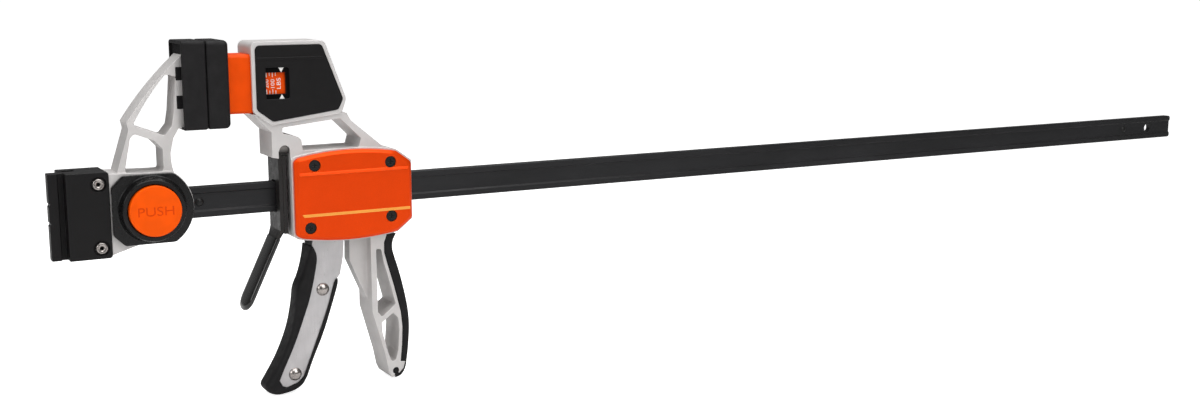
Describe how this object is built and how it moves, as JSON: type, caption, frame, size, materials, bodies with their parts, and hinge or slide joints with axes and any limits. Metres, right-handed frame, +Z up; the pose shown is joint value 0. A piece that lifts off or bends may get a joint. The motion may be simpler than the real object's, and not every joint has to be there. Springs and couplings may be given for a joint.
{
  "type": "quick release bar clamp",
  "caption": "One-handed quick release bar clamp with a trigger head on a long steel bar, a spring load gauge, a removable fixed jaw and an end coupler.",
  "frame": {"origin": "on the bar's centre line, in the plane where the two pads meet with the jaws closed", "axes": "+X along the bar from the fixed jaw to its free end, +Y away from the side with the push button, +Z up from the bar to the pads"},
  "size_m": [1.281, 0.065, 0.2995],
  "materials": {
    "black_oxide_steel": "black oxide, satin",
    "cast_aluminium": "bead-blasted light grey",
    "black_plastic": "matte black",
    "black_rubber": "smooth black rubber",
    "orange_plastic": "moulded orange, half gloss",
    "orange_cover": "metallic orange, half gloss",
    "black_screws": "black oxide",
    "bright_rivets": "polished",
    "black_steel": "black oxide",
    "black_vinyl": "dipped, glossy black",
    "brushed_plates": "brushed along the handle",
    "plain_steel": "turned or pressed, plain",
    "spring_steel": "drawn wire"
  },
  "bodies": {
    "bar_and_fixed_jaw": {"bar": "black_oxide_steel", "near_stop_pin": "black_steel", "far_stop_pin": "black_steel", "fixed_jaw_frame": "cast_aluminium", "fixed_jaw_pad": "black_rubber", "connector_block": "black_plastic", "connector_rivets": "bright_rivets", "button_collar": "black_plastic", "button_back_cover": "black_plastic", "button_spring": "spring_steel"},
    "lock_button": {"push_button": "orange_plastic", "lock_stems": "plain_steel", "lock_yoke": "plain_steel", "lock_pin": "plain_steel", "yoke_screws": "plain_steel"},
    "moving_jaw": {"movable_jaw_frame": "cast_aluminium", "front_cover_plate": "orange_cover", "rear_cover_plate": "orange_cover", "front_cover_screws": "black_screws", "rear_cover_screws": "black_screws", "front_gauge_cover": "black_plastic", "rear_gauge_cover": "black_plastic", "gauge_guide_bolt": "plain_steel", "gauge_spring": "spring_steel", "backstrap_grip": "black_rubber", "trigger_pivot_pin": "plain_steel", "brake_spring": "spring_steel", "drive_spring": "spring_steel"},
    "plunger": {"gauge_plunger": "orange_plastic", "moving_jaw_pad": "black_rubber"},
    "release": {"release_lever": "black_steel", "brake_plate": "black_steel", "lever_sleeve": "black_vinyl"},
    "trigger": {"front_trigger_plate": "brushed_plates", "rear_trigger_plate": "brushed_plates", "trigger_grip": "black_rubber", "trigger_rivets": "bright_rivets", "trigger_bushes": "plain_steel", "roller_pin": "plain_steel", "push_roller": "plain_steel"},
    "drive": {"drive_plates": "plain_steel"}
  },
  "joints": [
    {"name": "head_slide", "type": "slide", "parent": "bar_and_fixed_jaw", "child": "moving_jaw", "axis": [1, 0, 0], "range_m": [0, 0.904]},
    {"name": "button_press", "type": "slide", "parent": "bar_and_fixed_jaw", "child": "lock_button", "axis": [0, 1, 0], "range_m": [0, 0.008], "stiffness_N_per_m": 600, "springref_m": -0.004, "deforming": ["button_spring"]},
    {"name": "trigger_pull", "type": "hinge", "parent": "moving_jaw", "child": "trigger", "pos_m": [0.104, 0, 0.021], "axis": [0, -1, 0], "range_deg": [0, 15], "stiffness_Nm_per_rad": 1.57, "springref_deg": -22.35},
    {"name": "drive_slide", "type": "slide", "parent": "moving_jaw", "child": "drive", "axis": [1, 0, 0], "range_m": [0, 0.01], "deforming": ["drive_spring"]},
    {"name": "release_press", "type": "hinge", "parent": "moving_jaw", "child": "release", "pos_m": [0.0616, 0, 0.039], "axis": [0, -1, 0], "range_deg": [0, 2.2], "stiffness_Nm_per_rad": 5.3, "springref_deg": -4.01, "deforming": ["brake_spring"]},
    {"name": "gauge_press", "type": "slide", "parent": "moving_jaw", "child": "plunger", "axis": [1, 0, 0], "range_m": [0, 0.0165], "stiffness_N_per_m": 30000, "springref_m": -0.001, "deforming": ["gauge_spring"]}
  ],
  "couplings": [
    {"joint": "drive_slide", "follows": "trigger_pull", "m_per_rad": 0.038}
  ]
}
